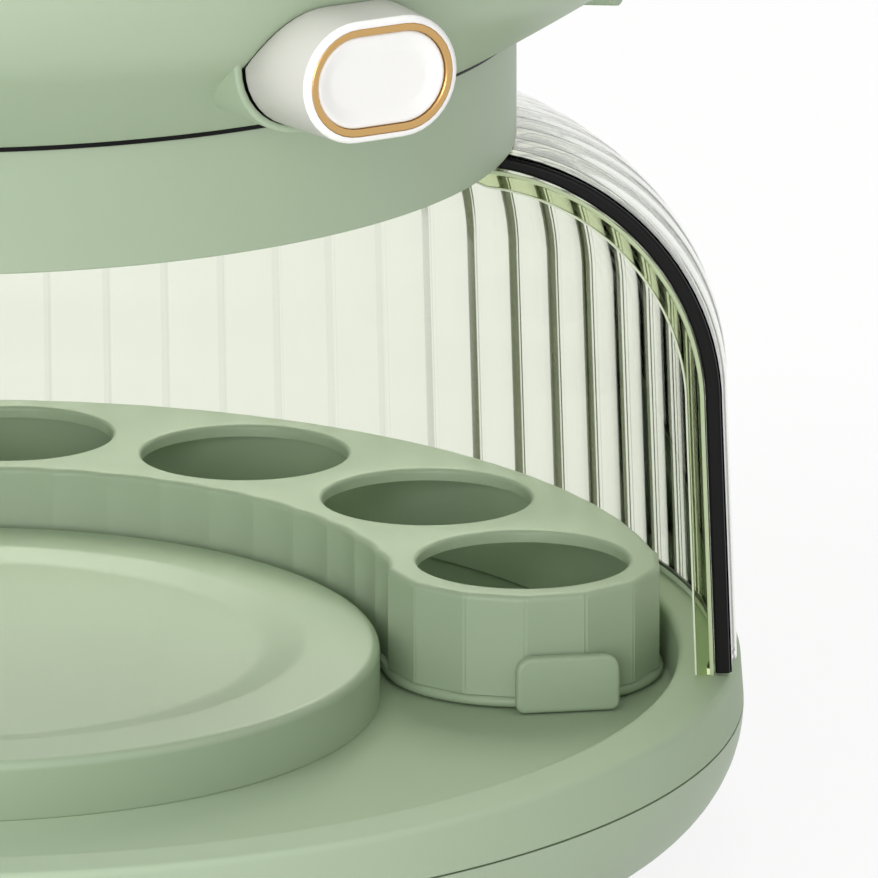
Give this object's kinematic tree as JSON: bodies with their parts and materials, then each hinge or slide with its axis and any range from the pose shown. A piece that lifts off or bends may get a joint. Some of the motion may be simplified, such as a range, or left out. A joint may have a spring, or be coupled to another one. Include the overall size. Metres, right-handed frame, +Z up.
{
  "type": "egg cooker",
  "caption": "Round egg cooker with a heated plate, a curved egg tray under a clear revolving dome, and a handled steaming bowl with a lid on top.",
  "frame": {"origin": "on the table under the centre of the round base", "axes": "+Z up, -Y to the front, where the button is, +X to the right seen from the front"},
  "size_m": [0.2832, 0.2834, 0.2503],
  "materials": {
    "sage_green": "satin",
    "coated_plate": "satin coating",
    "white": "satin",
    "gold": "satin",
    "clear_green": "clear",
    "black_rubber": "matte",
    "steel": "plain",
    "dark_plastic": "matte",
    "pin_brass": "plain",
    "lamp": "clear",
    "ceramic": "matte"
  },
  "bodies": {
    "base": {"base_deck": "sage_green", "base_tub": "sage_green", "heating_plate": "coated_plate", "plate_seal": "black_rubber", "heater_ring": "steel", "thermostat": "dark_plastic", "thermal_fuse": "ceramic", "terminal_block": "ceramic", "power_switch": "dark_plastic", "power_inlet": "dark_plastic", "inlet_pins": "pin_brass", "button_bezel": "sage_green", "indicator_lens": "lamp", "plate_screws": "steel", "case_screws": "steel", "rubber_feet": "black_rubber"},
    "tray": {"egg_tray": "sage_green"},
    "hood": {"rear_dome": "clear_green", "collar_ring": "sage_green", "collar_gasket": "black_rubber", "collar_screws": "steel"},
    "door": {"front_door": "clear_green", "door_strip_right": "black_rubber", "door_strip_left": "black_rubber"},
    "bowl": {"steam_bowl": "sage_green", "handle_sleeve_front": "white", "handle_cap_front": "white", "handle_ring_front": "gold", "handle_sleeve_rear": "white", "handle_cap_rear": "white", "handle_ring_rear": "gold"},
    "lid": {"bowl_lid": "clear_green", "lid_knob": "white", "knob_ring": "gold", "knob_screw": "steel"},
    "button": {"power_button": "white"}
  },
  "joints": [
    {"name": "tray_lift", "type": "slide", "parent": "base", "child": "tray", "axis": [0, 0, 1], "range_m": [0, 0.025]},
    {"name": "hood_lift", "type": "slide", "parent": "base", "child": "hood", "axis": [0, 0, 1], "range_m": [0, 0.15]},
    {"name": "door_turn", "type": "hinge", "parent": "hood", "child": "door", "pos_m": [0, 0, 0.088], "axis": [0, 0, 1], "range_deg": [0, 180]},
    {"name": "bowl_lift", "type": "slide", "parent": "hood", "child": "bowl", "axis": [0, 0, 1], "range_m": [0, 0.08]},
    {"name": "lid_lift", "type": "slide", "parent": "bowl", "child": "lid", "axis": [0, 0, 1], "range_m": [0, 0.06]},
    {"name": "button_press", "type": "slide", "parent": "base", "child": "button", "axis": [0, 1, 0], "range_m": [0, 0.0015], "stiffness_N_per_m": 700, "springref_m": -0.001}
  ]
}
